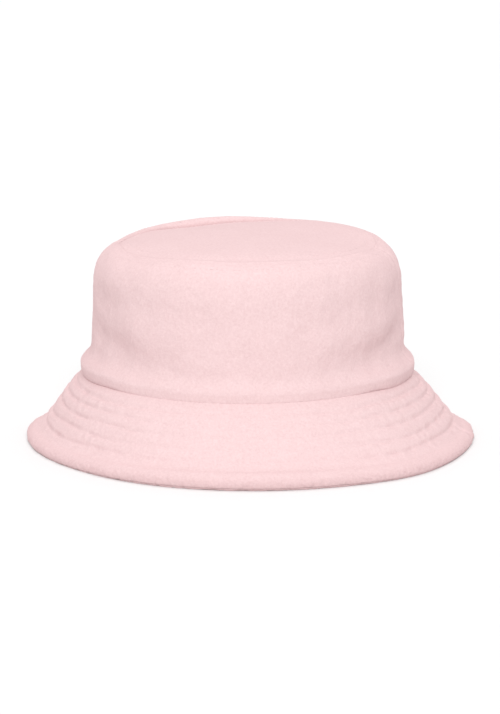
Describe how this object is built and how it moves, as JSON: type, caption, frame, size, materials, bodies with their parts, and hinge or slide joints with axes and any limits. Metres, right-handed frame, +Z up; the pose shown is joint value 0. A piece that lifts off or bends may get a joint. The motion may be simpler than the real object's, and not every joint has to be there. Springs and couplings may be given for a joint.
{
  "type": "bucket hat",
  "caption": "Soft bucket hat in brushed towelling: flat round crown with a rolled base and a sloping brim with concentric topstitching, standing on its brim edge.",
  "frame": {"origin": "centre of the brim edge's resting plane, under the middle of the crown", "axes": "+Z up out of the crown, -Y out of the front, side seams at +X and -X"},
  "size_m": [0.2688, 0.2768, 0.1215],
  "materials": {
    "towelling": "brushed towelling, pastel pink",
    "interlining": "non-woven interlining, off white",
    "lining": "cotton twill, pastel pink",
    "label": "satin ribbon, blank",
    "thread": "spun polyester thread, pastel pink"
  },
  "bodies": {
    "root": {"crown_tip": "towelling", "crown_side_front": "towelling", "crown_side_back": "towelling", "brim_top_front": "towelling", "brim_top_back": "towelling", "brim_under_front": "towelling", "brim_under_back": "towelling", "brim_stiffener_front": "interlining", "brim_stiffener_back": "interlining", "sweatband": "lining", "tip_seam_tape": "lining", "side_seam_tape_right": "lining", "side_seam_tape_left": "lining", "care_label": "label", "size_label": "label", "brim_stitch_row_1": "thread", "brim_stitch_row_2": "thread", "brim_stitch_row_3": "thread", "brim_stitch_row_4": "thread", "brim_stitch_row_5": "thread", "tip_stitch_upper": "thread", "tip_stitch_lower": "thread"}
  },
  "joints": []
}
